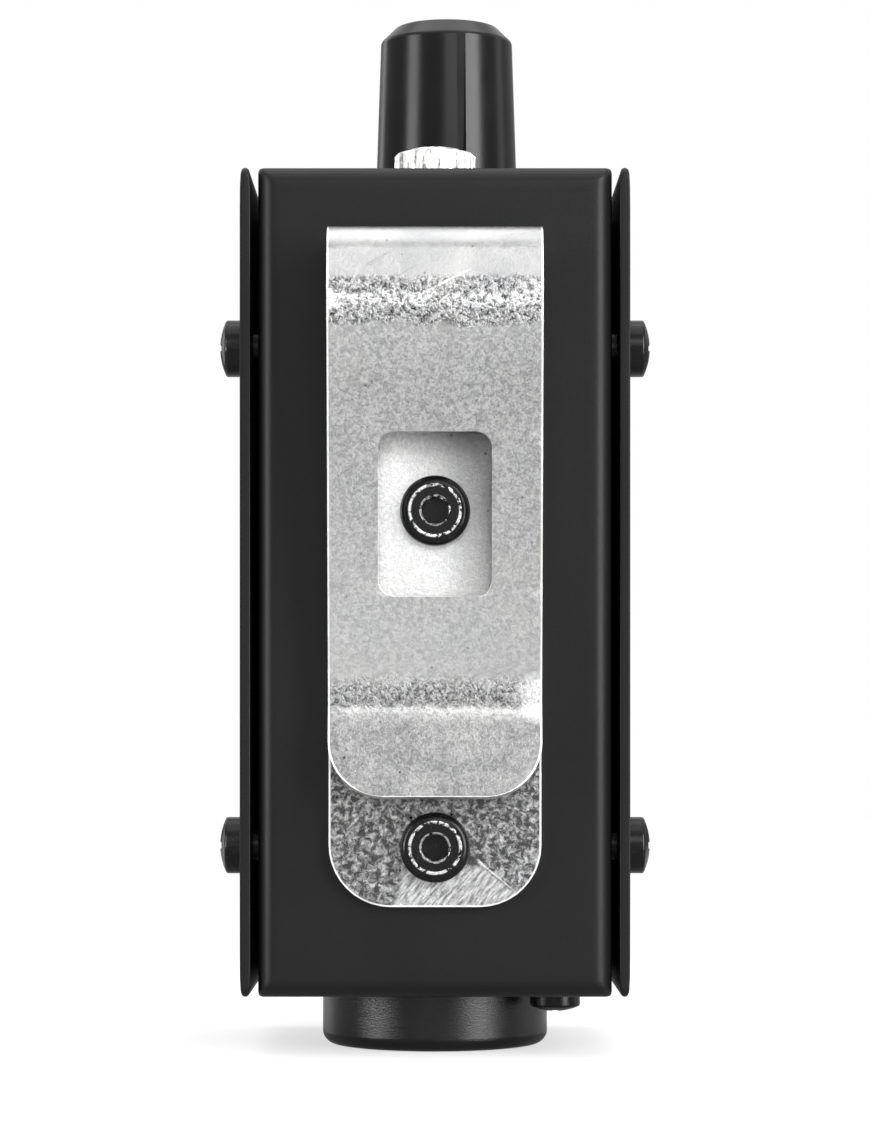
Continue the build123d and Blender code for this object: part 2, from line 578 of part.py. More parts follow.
def xlr_push_tab():
    """Release tab beside the nose, with retaining shoulders and a wedge above them."""
    x0, x1 = TAB_X
    shoulder_half, shoulder_height = TAB_SHOULDER
    shoulder = FLANGE_TOP + 0.1
    low = shoulder + shoulder_height
    tab = block(x0, x1, -TAB_HALF, TAB_HALF, BOTTOM - TAB_PROUD, shoulder)
    tab = fillet(tab.edges().group_by(Axis.Z)[0], 0.5)
    tab += block(x0, x1, -shoulder_half, shoulder_half, shoulder, low)
    wedge = Polyline((x0, low), (WEDGE_X, low), (WEDGE_X, WEDGE_SUM - WEDGE_X),
                     (x0, WEDGE_SUM - x0), close=True)
    plane = Plane(origin=(0, WEDGE_HALF, 0), x_dir=(1, 0, 0), z_dir=(0, -1, 0))
    return tab + extrude(plane * make_face(wedge), 2 * WEDGE_HALF)


def xlr_latch_leaf():
    """Spring-steel leaf with the hook that holds the plug and a foot on the wedge."""
    points = [(LATCH_X, LATCH_PIVOT_Z + 1.2), *LATCH_FOOT]
    leaf = upright_profile(LATCH_SHEET, points, 0.4, LATCH_HALF)
    tip, low, high = LATCH_HOOK
    leaf += block(tip, LATCH_X, -LATCH_HALF + 0.2, LATCH_HALF - 0.2, low, high)
    hole = Pos(LATCH_X, 0, LATCH_PIVOT_Z) * Rot(0, 90, 0) * Cylinder(RIVET_RADIUS + 0.15, 4)
    return leaf - hole


def xlr_latch_rivet():
    """Rivet that ties the leaf to the shell's boss."""
    rivet = Pos(0.1, 0, 0) * Rot(0, 90, 0) * Cylinder(RIVET_RADIUS, 2.6)
    place, radius, thickness = RIVET_HEAD
    rivet += Pos(place, 0, 0) * Rot(0, 90, 0) * Cylinder(radius, thickness)
    return Pos(LATCH_X - 0.1, 0, LATCH_PIVOT_Z) * rivet


def xlr_screws():
    """Two pan-head screws from outside, through the panel and the flange."""
    screw = pan_screw(XLR_HEAD_RADIUS, XLR_HEAD_HEIGHT, XLR_SHANK_RADIUS, XLR_SCREW_LENGTH)
    return [Pos(x, y, BOTTOM) * Rot(180, 0, 0) * screw for x, y in XLR_SCREWS]


def xlr_nuts():
    """Hexagon nuts on the flange."""
    nut = hex_nut(*XLR_NUT, XLR_SHANK_RADIUS + 0.05)
    return [Pos(x, y, FLANGE_TOP + XLR_WASHER) * nut for x, y in XLR_SCREWS]


def xlr_lock_washer():
    """Washer below one nut; the ground lug takes its place below the other."""
    x, y = XLR_SCREWS[0]
    return ring(x, y, FLANGE_TOP, FLANGE_TOP + XLR_WASHER, 2.4, XLR_SHANK_RADIUS + 0.1)


def ground_lug():
    """Ring lug with an upright tail."""
    x, y = XLR_SCREWS[1]
    top = FLANGE_TOP + XLR_WASHER
    half_sheet = XLR_WASHER / 2
    lug = post(x, y, FLANGE_TOP, top, 2.6)
    lug += block(LUG_X - half_sheet, x, y - 1, y + 1, FLANGE_TOP, top)
    lug += block(LUG_X - half_sheet, LUG_X + half_sheet, y - 1, y + 1, FLANGE_TOP, LUG_TOP)
    return lug - post(x, y, FLANGE_TOP - 1, top + 1, XLR_SHANK_RADIUS + 0.1)


# ---- wiring -------------------------------------------------------------------------
OUTER_X = GANG_TERMINAL_X[0] + 0.6
INNER_X = GANG_TERMINAL_X[1] + 0.6
UPPER_END = GANG_Z[0] - 0.3
LOWER_END = GANG_Z[1] - 0.3
JACK_END = JACK_TAIL - 0.1
GROUND_Y, WIPER_Y, SIGNAL_Y = TERMINAL_Y
WIRE_START = CUP_TOP + 0.05
WIRES = {
    "wire_left_in": [(2.25, 3.9, WIRE_START), (2.25, 3.9, 31.5), (OUTER_X, 7.5, 36),
                     (OUTER_X, SIGNAL_Y, 48), (OUTER_X, SIGNAL_Y, UPPER_END)],
    "wire_right_in": [(-4.5, 0, WIRE_START), (-4.5, 0, 33), (INNER_X, SIGNAL_Y, 46),
                      (INNER_X, SIGNAL_Y, LOWER_END)],
    "wire_ground_in": [(2.25, -3.9, WIRE_START), (2.25, -3.9, 32), (OUTER_X, GROUND_Y, 41),
                       (OUTER_X, GROUND_Y, UPPER_END)],
    "wire_left_out": [(OUTER_X, WIPER_Y, UPPER_END), (OUTER_X, WIPER_Y, 64), (-6, 3, 54.5),
                      (2.7, JACK_Y, 54), (2.7, JACK_Y, JACK_END)],
    "wire_right_out": [(INNER_X, WIPER_Y, LOWER_END), (INNER_X, WIPER_Y, 69.5), (-5.5, 1, 60),
                       (-2.7, JACK_Y, 60), (-2.7, JACK_Y, JACK_END)],
    "wire_ground_out": [(INNER_X, GROUND_Y, LOWER_END), (INNER_X, GROUND_Y, 66),
                        (0, JACK_Y + 4.3, 62), (0, JACK_Y + 4.3, JACK_END)],
    "wire_case_ground": [(LUG_X, 9.5, LUG_TOP + 0.05), (LUG_X, 9.5, 50), (-9, 9, 58), (1.2, 9, 58),
                         (1.2, 9, GANG_Z[1] - 5.8)],
}


def wire(name, points):
    """Insulated lead along straight runs joined by arcs."""
    route = [Vector(*p) for p in points]
    radii = []
    for before, corner, after in zip(route, route[1:], route[2:]):
        run_in = corner - before
        run_out = after - corner
        turn = radians(run_in.get_angle(run_out))
        shorter = min(run_in.length, run_out.length)
        radii.append(0.45 * shorter * cos(turn / 2) / sin(turn / 2))
    path = FilletPolyline(*points, radius=radii)
    start = Plane(origin=path @ 0, z_dir=path % 0)
    lead = sweep(start * Circle(WIRE_RADIUS), path=path)
    expected = pi * WIRE_RADIUS ** 2 * path.length
    text = ", ".join(f"{r:.1f}" for r in radii)
    print(f"{name}: length {path.length:.1f}, radii {text}, volume ratio {lead.volume / expected:.4f}")
    return lead


PIECES = {
    "rear_chassis": rear_chassis,
    "front_cover": front_cover,
    "cover_screws": cover_screws,
    "cover_clinch_nuts": cover_clinch_nuts,
    "clip_base_plate": clip_base_plate,
    "clip_spring_leaf": clip_spring_leaf,
    "clip_screws": clip_screws,
    "clip_lock_washers": clip_lock_washers,
    "clip_nuts": clip_nuts,
    "volume_knob": volume_knob,
    "knob_collet": knob_collet,
    "pot_shaft": pot_shaft,
    "pot_bushing_plate": pot_bushing_plate,
    "pot_lock_washer": pot_lock_washer,
    "pot_nut": pot_nut,
    "pot_wafers": pot_wafers,
    "pot_terminals": pot_terminals,
    "pot_cans": pot_cans,
    "pot_rotors": pot_rotors,
    "pot_wipers": pot_wipers,
    "jack_bushing": jack_bushing,
    "jack_nut": jack_nut,
    "jack_washer": jack_washer,
    "jack_body": jack_body,
    "jack_tip_spring": lambda: jack_spring(1),
    "jack_ring_spring": lambda: jack_spring(-1),
    "jack_sleeve_lug": jack_sleeve_lug,
    "xlr_shell": xlr_shell,
    "xlr_insert": xlr_insert,
    "xlr_contacts": xlr_contacts,
    "xlr_push_tab": xlr_push_tab,
    "xlr_latch_leaf": xlr_latch_leaf,
    "xlr_latch_rivet": xlr_latch_rivet,
    "xlr_screws": xlr_screws,
    "xlr_nuts": xlr_nuts,
    "xlr_lock_washer": xlr_lock_washer,
    "ground_lug": ground_lug,
}


def main():
    os.makedirs("parts", exist_ok=True)
    for name, make in PIECES.items():
        piece = make()
        if isinstance(piece, list):
            piece = Compound(children=piece)
        export_step(piece, f"parts/{name}.step")
    for name, points in WIRES.items():
        export_step(wire(name, points), f"parts/{name}.step")


main()
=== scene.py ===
"""Looks of the wired monitor belt pack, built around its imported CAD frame.  Metres.

The back panel faces -Y, +Z is up, and the XLR nose stands on the floor at z = 0.
"""

import json
import math

import bmesh
import bpy
from mathutils import Matrix, Vector


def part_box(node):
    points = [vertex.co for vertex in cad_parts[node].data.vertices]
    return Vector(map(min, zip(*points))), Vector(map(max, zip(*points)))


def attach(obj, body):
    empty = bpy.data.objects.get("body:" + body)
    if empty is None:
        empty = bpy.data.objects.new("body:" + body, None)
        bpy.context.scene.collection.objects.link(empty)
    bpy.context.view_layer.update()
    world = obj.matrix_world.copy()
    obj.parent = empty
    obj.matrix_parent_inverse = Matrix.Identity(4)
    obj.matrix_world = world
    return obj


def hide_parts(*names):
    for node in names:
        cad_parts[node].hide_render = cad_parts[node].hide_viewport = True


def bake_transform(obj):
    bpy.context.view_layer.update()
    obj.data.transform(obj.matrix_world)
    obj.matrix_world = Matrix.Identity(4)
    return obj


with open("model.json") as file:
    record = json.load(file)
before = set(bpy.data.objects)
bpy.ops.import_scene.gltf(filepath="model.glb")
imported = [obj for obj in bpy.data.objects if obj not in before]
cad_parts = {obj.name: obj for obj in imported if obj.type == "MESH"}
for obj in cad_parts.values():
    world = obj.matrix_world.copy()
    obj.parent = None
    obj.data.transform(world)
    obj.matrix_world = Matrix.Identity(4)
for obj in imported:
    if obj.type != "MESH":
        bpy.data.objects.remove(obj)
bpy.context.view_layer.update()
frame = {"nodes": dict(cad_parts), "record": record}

MM = 0.001
NEAR = 0.01 * MM            # places closer than this count as one
CYLINDER_SIDES = 64

# ---- places read from the frame -------------------------------------------------------
CHASSIS_LOW, CHASSIS_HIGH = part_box("rear_chassis")
COVER_LOW, COVER_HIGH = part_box("front_cover")
PLATE_LOW, PLATE_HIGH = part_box("clip_base_plate")
LEAF_LOW, LEAF_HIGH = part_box("clip_spring_leaf")
SCREWS_LOW, SCREWS_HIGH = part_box("clip_screws")
KNOB_LOW, KNOB_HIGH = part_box("volume_knob")
NUT_LOW, NUT_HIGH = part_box("jack_nut")
SHELL_LOW, SHELL_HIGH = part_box("xlr_shell")
TAB_LOW, TAB_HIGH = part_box("xlr_push_tab")
BACK = CHASSIS_LOW.y
BOTTOM = CHASSIS_LOW.z
TOP = CHASSIS_HIGH.z
MIDDLE = (BOTTOM + TOP) / 2
HEAD_RADIUS = SCREWS_HIGH.x
SCREW_HEIGHTS = (SCREWS_LOW.z + HEAD_RADIUS, SCREWS_HIGH.z - HEAD_RADIUS)

# ---- sheet metal ----------------------------------------------------------------------
SHEET = 1.0 * MM
BEND = 1.9 * MM             # outer bend radius
SIDE_FLANGE = 12.0 * MM
EASE = 0.34 * MM            # powder coat rounds the sheet's cut edges over this width
FLAT = 4 * EASE             # the sheet is flat from this distance inwards
COVER_CORNER = 1.0 * MM     # back corners of the cover's side walls
NOSE_HOLE = 11.7 * MM       # radii of the holes in the chassis
JACK_HOLE = 3.0 * MM
POT_HOLE = 3.65 * MM
TAB_SLOT = (1.5 * MM, 0.3 * MM, 3.8 * MM)   # beyond the release tab, behind it, half width

# ---- belt clip, as distances from the back panel and heights --------------------------
CLIP_SHEET = 1.0 * MM
CLIP_HALF = (LEAF_HIGH.x - LEAF_LOW.x) / 2
CLIP_DATUM = PLATE_LOW.z + 31.3 * MM        # height that the clip is measured from
CLIP_FOLD = 6.55 * MM
CLIP_RIDGE = (7.6 * MM, CLIP_DATUM + 28.0 * MM)
CLIP_CREASE = (2.4 * MM, CLIP_DATUM - 12.0 * MM)
CLIP_TONGUE = (4.6 * MM, CLIP_DATUM - 20.65 * MM)
CLIP_RADII = (2.6 * MM, 2.6 * MM, 3.0 * MM, 2.5 * MM)   # two at the fold, ridge, crease
CLIP_CORNER = 6.0 * MM
CLIP_TONGUE_CORNER = 5.4 * MM
CLIP_EDGE = 0.2 * MM
WINDOW_HALF = 5.45 * MM
WINDOW_SPAN = (CLIP_DATUM - 1.3 * MM, CLIP_DATUM + 14.4 * MM)
WINDOW_CORNER = 1.6 * MM
CLIP_COLUMNS = 4            # quads across the window, and across the strip on each side of it

# ---- camera and light -----------------------------------------------------------------
VIEW_DISTANCE = 330 * MM    # from the back panel
VIEW_HEIGHT = CLIP_DATUM - 13 * MM
VIEW_SHIFT = 0.135
FOCAL_RATIO = 3.0027        # focal length over the picture's long side
DOME_LOW, DOME_HIGH = 0.16, 1.1
DOME_RISE = (0.05, 0.45)    # sine of the elevations between which the dome brightens


# =======================================================================================
# Mesh tools
# =======================================================================================
def object_from(bm, name):
    """A scene object that holds a bmesh."""
    mesh = bpy.data.meshes.new(name)
    bm.normal_update()
    bm.to_mesh(mesh)
    bm.free()
    piece = bpy.data.objects.new(name, mesh)
    bpy.context.scene.collection.objects.link(piece)
    return piece


def apply_modifiers(piece):
    """Turns the modified shape into the object's own mesh."""
    graph = bpy.context.evaluated_depsgraph_get()
    mesh = bpy.data.meshes.new_from_object(piece.evaluated_get(graph))
    old = piece.data
    piece.modifiers.clear()
    piece.data = mesh
    mesh.name = piece.name
    bpy.data.meshes.remove(old)


def smooth_by_angle(piece, degrees):
    """Smooth shading with sharp edges above an angle."""
    bm = bmesh.new()
    bm.from_mesh(piece.data)
    limit = math.radians(degrees)
    for face in bm.faces:
        face.smooth = True
    for edge in bm.edges:
        edge.smooth = len(edge.link_faces) == 2 and edge.calc_face_angle(0) < limit
    bm.to_mesh(piece.data)
    bm.free()


def soften(piece, width):
    """Rounds the sharp edges and keeps the flats flat in the shading."""
    bevel = piece.modifiers.new("edges", "BEVEL")
    bevel.width = width
    bevel.segments = 3
    bevel.limit_method = "ANGLE"
    bevel.angle_limit = math.radians(38)
    bevel.miter_outer = "MITER_ARC"
    apply_modifiers(piece)
    smooth_by_angle(piece, 40)
    weighted = piece.modifiers.new("normals", "WEIGHTED_NORMAL")
    weighted.keep_sharp = True
    weighted.weight = 60
    apply_modifiers(piece)


def rounded(piece):
    """Subdivision surface, which rounds what its control loops leave free."""
    subdivision = piece.modifiers.new("rounded", "SUBSURF")
    subdivision.levels = 2
    subdivision.render_levels = 2
    apply_modifiers(piece)
    for face in piece.data.polygons:
        face.use_smooth = True
    return piece


def cut(piece, cutters):
    """Takes the cutters' volumes out of a piece."""
    for cutter in cutters:
        boolean = piece.modifiers.new("cut", "BOOLEAN")
        boolean.operation = "DIFFERENCE"
        boolean.solver = "EXACT"
        boolean.object = cutter
        apply_modifiers(piece)
        bpy.data.objects.remove(cutter)


def sheet_from(bm, name, thickness):
    """A piece of sheet from its middle surface."""
    piece = object_from(bm, name)
    solid = piece.modifiers.new("sheet", "SOLIDIFY")
    solid.thickness = thickness
    solid.offset = 0
    solid.use_even_offset = True
    apply_modifiers(piece)
    return piece


def prism(outline, z0, z1):
    """Upright prism from (x, y) corners."""
    bm = bmesh.new()
    base = bm.faces.new([bm.verts.new((x, y, z0)) for x, y in outline])
    extruded = bmesh.ops.extrude_face_region(bm, geom=[base])["geom"]
    top = [v for v in extruded if isinstance(v, bmesh.types.BMVert)]
    bmesh.ops.translate(bm, verts=top, vec=(0, 0, z1 - z0))
    bmesh.ops.recalc_face_normals(bm, faces=bm.faces)
    return object_from(bm, "prism")


def cylinder(place, radius, z0, z1):
    """Upright cylinder about a place."""
    turn = [2 * math.pi * i / CYLINDER_SIDES for i in range(CYLINDER_SIDES)]
    outline = [(place.x + radius * math.cos(a), place.y + radius * math.sin(a)) for a in turn]
    return prism(outline, z0, z1)


class BentPath:
    """A plane path of straight runs joined by arcs, measured along its length."""

    def __init__(self, points, radii):
        self.parts = []
        self.length = 0
        points = [Vector(p) for p in points]
        here = points[0]
        for before, corner, after, radius in zip(points, points[1:], points[2:], radii):
            way_in = (corner - before).normalized()
            way_out = (after - corner).normalized()
            turn = math.atan2(way_in.x * way_out.y - way_in.y * way_out.x, way_in.dot(way_out))
            reach = radius * math.tan(abs(turn) / 2)
            self._add_line(here, corner - way_in * reach)
            side = math.copysign(1, turn)
            centre = corner - way_in * reach + Vector((-way_in.y, way_in.x)) * radius * side
            self.parts.append((self.length, radius * abs(turn), "arc", centre, way_in, side, radius))
            self.length += radius * abs(turn)
            here = corner + way_out * reach
        self._add_line(here, points[-1])

    def _add_line(self, start, end):
        step = end - start
        self.parts.append((self.length, step.length, "line", start, step.normalized()))
        self.length += step.length

    def at(self, s):
        """(point, left-hand normal) at a distance along the path."""
        part = [p for p in self.parts if p[0] <= s + 1e-9][-1]
        along = s - part[0]
        if part[2] == "line":
            start, way = part[3:]
            return start + way * along, Vector((-way.y, way.x))
        centre, way, side, radius = part[3:]
        way = Matrix.Rotation(side * along / radius, 2) @ way
        normal = Vector((-way.y, way.x))
        return centre - normal * radius * side, normal

    def stations(self, step_degrees):
        """Distances at the ends of every part, and closer together in the arcs."""
        found = [0, self.length]
        for part in self.parts:
            start, length = part[:2]
            count = 1
            if part[2] == "arc":
                count = max(2, math.ceil(math.degrees(length / part[6]) / step_degrees))
            found += [start + length * i / count for i in range(count + 1)]
        return found


def merged(values):
    """Sorted values without near repeats."""
    kept = []
    for value in sorted(values):
        if not kept or value - kept[-1] > NEAR:
            kept.append(value)
    return kept


def corner_stations(edge, direction, radius, steps=10):
    """Distances that follow a round corner from an edge inwards."""
    angles = [math.pi / 2 * i / steps for i in range(steps + 1)]
    return [edge + direction * radius * (1 - math.cos(a)) for a in angles]


def corner_inset(distance, radius):
    """How far a round corner stands in at a distance from its edge."""
    if distance >= radius:
        return 0
    return radius - math.sqrt(max(radius ** 2 - (radius - max(distance, 0)) ** 2, 0))


def grid(bm, rows, keep):
    """Quads between rows of points, where keep(row, column) is true."""
    made = {}

    def vertex(i, j):
        if (i, j) not in made:
            made[i, j] = bm.verts.new(rows[i][j])
        return made[i, j]

    for i in range(len(rows) - 1):
        for j in range(len(rows[0]) - 1):
            if keep(i, j):
                bm.faces.new([vertex(i, j), vertex(i, j + 1), vertex(i + 1, j + 1), vertex(i + 1, j)])

# =======================================================================================
# Material tools
# =======================================================================================
class Finish:
    """A material on one Principled shader, with short calls for the nodes that feed it."""

    def __init__(self, name, **sockets):
        self.material = bpy.data.materials.new(name)
        self.material.use_nodes = True
        self.tree = self.material.node_tree
        self.shader = self.tree.nodes["Principled BSDF"]
        self.set(**sockets)
        coordinates = self.node("TexCoord")
        scale = self.node("VectorMath", operation="SCALE")
        scale.inputs["Scale"].default_value = 1 / MM
        self.link(coordinates.outputs["Object"], scale.inputs[0])
        self.place = scale.outputs[0]       # position in millimetres

    def node(self, kind, **settings):
        """A new shader node with its settings."""
        node = self.tree.nodes.new("ShaderNode" + kind)
        for name, value in settings.items():
            setattr(node, name, value)
        return node

    def link(self, source, target):
        self.tree.links.new(source, target)

    def feed(self, node, name, value):
        """Sets or links one input."""
        socket = node.inputs[name]
        if isinstance(value, bpy.types.NodeSocket):
            self.link(value, socket)
        else:
            socket.default_value = value

    def set(self, **sockets):
        """Sets or links inputs of the shader."""
        for socket, value in sockets.items():
            self.feed(self.shader, socket.replace("_", " "), value)
        return self.material

    # ---- places -----------------------------------------------------------------------
    def axis(self, name):
        """One coordinate, in millimetres."""
        node = self.node("SeparateXYZ")
        self.link(self.place, node.inputs[0])
        return node.outputs[name]

    def stretch(self, sx, sy, sz):
        """Position in millimetres, scaled along each axis."""
        node = self.node("VectorMath", operation="MULTIPLY")
        self.link(self.place, node.inputs[0])
        node.inputs[1].default_value = (sx, sy, sz)
        return node.outputs[0]

    def turned(self, degrees, scale):
        """Position in millimetres, turned about Y and then scaled along each axis."""
        node = self.node("Mapping", vector_type="TEXTURE")
        self.link(self.place, node.inputs["Vector"])
        node.inputs["Rotation"].default_value = (0, math.radians(degrees), 0)
        node.inputs["Scale"].default_value = [1 / s for s in scale]
        return node.outputs[0]

    # ---- textures ---------------------------------------------------------------------
    def noise(self, scale, detail=2.0, roughness=0.5, distortion=0.0, place=None):
        node = self.node("TexNoise")
        self.link(place or self.place, node.inputs["Vector"])
        node.inputs["Scale"].default_value = scale
        node.inputs["Detail"].default_value = detail
        node.inputs["Roughness"].default_value = roughness
        node.inputs["Distortion"].default_value = distortion
        return node.outputs["Fac"]

    def cells(self, scale):
        """Distance to the nearest of many scattered points."""
        node = self.node("TexVoronoi")
        self.link(self.place, node.inputs["Vector"])
        node.inputs["Scale"].default_value = scale
        return node.outputs["Distance"]

    def bump(self, height, depth, normal=None):
        """Bump of a depth in millimetres."""
        node = self.node("Bump")
        node.inputs["Strength"].default_value = 1.0
        node.inputs["Distance"].default_value = depth * MM
        self.link(height, node.inputs["Height"])
        if normal is not None:
            self.link(normal, node.inputs["Normal"])
        return node.outputs["Normal"]

    # ---- sums -------------------------------------------------------------------------
    def work(self, operation, a, b=0.0, clamp=False):
        node = self.node("Math", operation=operation, use_clamp=clamp)
        self.feed(node, 0, a)
        self.feed(node, 1, b)
        return node.outputs[0]

    def plus(self, a, b):
        return self.work("ADD", a, b)

    def minus(self, a, b):
        return self.work("SUBTRACT", a, b)

    def times(self, a, b):
        return self.work("MULTIPLY", a, b)

    def clamped(self, value):
        """The value kept between 0 and 1."""
        return self.work("ADD", value, clamp=True)

    def mix(self, share, a, b, blend="MIX"):
        """Colour mix; a and b are colours or sockets."""
        node = self.node("Mix", data_type="RGBA", blend_type=blend)
        self.feed(node, 0, share)
        self.feed(node, 6, a)
        self.feed(node, 7, b)
        return node.outputs[2]

    def ramp(self, value, *stops):
        """Piecewise ramp from (position, grey) stops."""
        node = self.node("ValToRGB")
        self.link(value, node.inputs["Fac"])
        elements = node.color_ramp.elements
        while len(elements) < len(stops):
            elements.new(0.5)
        for element, (position, grey) in zip(elements, stops):
            element.position = position
            element.color = (grey, grey, grey, 1)
        return node.outputs["Color"]

    def profile(self, value, *stops):
        """Piecewise profile along an axis from (millimetres, level) stops."""
        first, last = stops[0][0], stops[-1][0]
        share = self.times(self.minus(value, first), 1 / (last - first))
        return self.ramp(share, *[((at - first) / (last - first), level) for at, level in stops])

    def step(self, value, start, end):
        """0 up to the start and 1 from the end, in millimetres; start may be the larger."""
        return self.clamped(self.times(self.minus(value, start), 1 / (end - start)))

    def band(self, value, centre, width):
        """1 at a place on an axis, falling to 0 at half the width each side."""
        away = self.work("ABSOLUTE", self.minus(value, centre))
        return self.clamped(self.minus(1.0, self.times(away, 2 / width)))

    def spot(self, x, z, radius, soft):
        """1 within a radius of an upright panel's point (x, z), falling to 0 over soft."""
        offset = self.node("VectorMath", operation="MULTIPLY_ADD")
        self.link(self.place, offset.inputs[0])
        offset.inputs[1].default_value = (1, 0, 1)
        offset.inputs[2].default_value = (-x, 0, -z)
        length = self.node("VectorMath", operation="LENGTH")
        self.link(offset.outputs[0], length.inputs[0])
        return self.step(length.outputs["Value"], radius + soft, radius)

    def outline(self, x, z, half, low, corner, width):
        """1 within a width of a strip's sides and of its round lower corners."""
        across = self.minus(self.work("ABSOLUTE", x), half - corner)
        across = self.work("MAXIMUM", across)
        down = self.work("MAXIMUM", self.minus(low + corner, z))
        away = self.plus(self.times(across, across), self.times(down, down))
        return self.step(self.work("POWER", away, 0.5), corner - width * 1.5, corner - width)


# ---- finishes of the record's material slots ------------------------------------------
def powder_coat():
    """Satin black powder coat: fine orange peel, a few dust specks, rubbed patches."""
    m = Finish("powder_coat", IOR=1.5, Specular_IOR_Level=0.18)
    peel = m.noise(3.2, 3.0, 0.55)
    fine = m.noise(11.0, 2.0, 0.6)
    patches = m.noise(0.05, 4.0, 0.6, 0.6)
    specks = m.ramp(m.cells(1.15), (0.0, 1.0), (0.045, 0.0))
    colour = m.mix(patches, (0.0042, 0.0043, 0.0044, 1), (0.0065, 0.0066, 0.0068, 1))
    colour = m.mix(m.times(specks, 0.2), colour, (0.12, 0.12, 0.12, 1))
    rough = m.plus(m.times(patches, 0.1), m.times(fine, 0.1))
    normal = m.bump(fine, 0.006, m.bump(peel, 0.012))
    return m.set(Base_Color=colour, Roughness=m.plus(rough, 0.31), Normal=normal)


# Reflectance and mottling up the clip's leaf, at heights in millimetres: a darker tongue, a bright
# crease line that is a painted highlight with a crazed band above it, the plain leaf, the crazed
# ridge with a painted highlight just below it, and the fold.
CREASE = CLIP_CREASE[1] / MM
RIDGE = CLIP_RIDGE[1] / MM
LEAF_LEVEL_AND_HIGHLIGHTS = (
    (CREASE - 10, 0.245), (CREASE - 1.6, 0.245), (CREASE - 0.6, 0.32),
    (CREASE - 0.2, 0.48), (CREASE + 0.2, 0.37), (CREASE + 0.7, 0.29),
    (CREASE + 1.8, 0.32), (CREASE + 3.0, 0.55), (CREASE + 8, 0.54),
    (CREASE + 18, 0.47), (RIDGE - 9, 0.42), (RIDGE - 3.7, 0.50),
    (RIDGE - 3.3, 0.27), (RIDGE - 2.1, 0.30), (RIDGE - 1.6, 0.50),
    (RIDGE - 0.8, 0.52), (RIDGE - 0.3, 0.31), (RIDGE + 0.6, 0.26),
    (RIDGE + 1.0, 0.39), (RIDGE + 13, 0.43))
LEAF_MOTTLING = (
    (CREASE - 10, 0.34), (CREASE - 1.6, 0.38), (CREASE - 0.3, 0.30),
    (CREASE + 0.7, 0.80), (CREASE + 1.8, 0.80), (CREASE + 3.2, 0.12),
    (CREASE + 12, 0.20), (RIDGE - 9, 0.28), (RIDGE - 3.7, 0.20),
    (RIDGE - 3.3, 1.0), (RIDGE + 0.6, 0.9), (RIDGE + 1.1, 0.06),
    (RIDGE + 13, 0.06))
RIM_HIGHLIGHT_WIDTH = 0.14            # painted highlight along the strip's edges, width in millimetres
RIM_HIGHLIGHT_COLOUR = (0.95, 0.95, 0.95, 1)


def leaf_tone(m, x, z, height, spread, mottle, clouds):
    """The leaf: crazed at its bends, with painted highlight lines, two painted highlight spots and
    one dragged scratch.
    """
    # The level carries the painted highlights at the crease and the ridge, and is a little darker
    # towards the right.
    level = m.times(m.profile(height, *LEAF_LEVEL_AND_HIGHLIGHTS), m.plus(1.0, m.times(x, -0.005)))
    uneven = m.times(m.minus(mottle, 0.5), m.times(spread, 1.9))
    tone = m.times(level, m.plus(1.0, uneven))
    tone = m.plus(tone, m.times(m.minus(clouds, 0.5), -0.07))
    # Two painted highlight spots where the ridge and crease highlights reach the leaf's edges.
    tone = m.plus(tone, m.times(m.spot(-10.4, RIDGE - 1.2, 0.5, 1.0), 0.5))
    tone = m.plus(tone, m.times(m.spot(10.3, CREASE + 1.0, 1.2, 1.6), 0.5))
    drag = m.band(m.plus(z, m.times(x, -0.52)), RIDGE - 0.1, 0.36)
    drag = m.times(drag, m.spot(1.2, RIDGE + 0.5, 2.9, 0.5))
    return m.plus(tone, m.times(m.times(drag, m.step(z, RIDGE + 1.8, RIDGE + 0.6)), 0.4))


def window_tone(m, x, z, mottle):
    """The plate seen through the leaf's window: clean, with a painted sheen to the lower left and
    painted shadow of the leaf to the upper right.
    """
    up = m.minus(z, CLIP_DATUM / MM)
    # Painted sheen at the lower left, fading into painted shadow of the leaf at the upper right.
    painted_sheen = m.step(m.plus(m.times(x, 0.85), m.times(up, 0.26)), 6.6, 0.2)
    return m.times(m.plus(m.times(painted_sheen, 0.54), 0.26), m.plus(0.86, m.times(mottle, 0.28)))


def foot_tone(m, x, z, mottle):
    """The plate's foot: speckled, with a fan of strokes that is partly a painted sheen, and a scrape
    beside its screw.
    """
    up = m.minus(z, SCREW_HEIGHTS[0] / MM)
    slope = m.plus(x, m.times(up, 1.2))
    # The fan below the screw is lighter as a painted sheen, with strokes drawn into it.
    fan = m.times(m.step(up, -1.6, -2.4), m.step(slope, 2.5, 2.1))
    fan = m.times(fan, m.step(m.plus(x, m.times(up, -0.28)), -2.7, -2.1))
    strokes = m.noise(1.0, 3.0, 0.6, 0.2, m.turned(40, (4.0, 1.0, 0.8)))
    strokes = m.ramp(strokes, (0.38, 0.0), (0.62, 1.0))
    speckle = m.ramp(m.noise(1.5, 4.0, 0.7, 0.6), (0.44, 0.0), (0.62, 1.0))
    tone = m.plus(m.times(m.times(speckle, m.plus(mottle, 0.35)), 0.45), 0.07)
    tone = m.mix(fan, tone, m.plus(m.times(strokes, 0.50), 0.22))
    scrape = m.times(m.band(slope, 2.6, 0.4), m.step(x, 4.0, 4.6))
    return m.plus(tone, m.times(m.times(scrape, m.step(x, 7.6, 7.2)), 0.5))


def worn(m, tone):
    """The tone with thin dark scratches and pits."""
    scratch = m.noise(1.0, 1.0, 0.5, 0.1, m.turned(58, (5.0, 1.0, 0.12)))
    scratch = m.ramp(scratch, (0.71, 0.0), (0.74, 1.0))
    pits = m.ramp(m.cells(0.55), (0.0, 1.0), (0.05, 1.0), (0.085, 0.0))
    return m.plus(m.plus(tone, m.times(scratch, -0.06)), m.times(pits, -0.16))


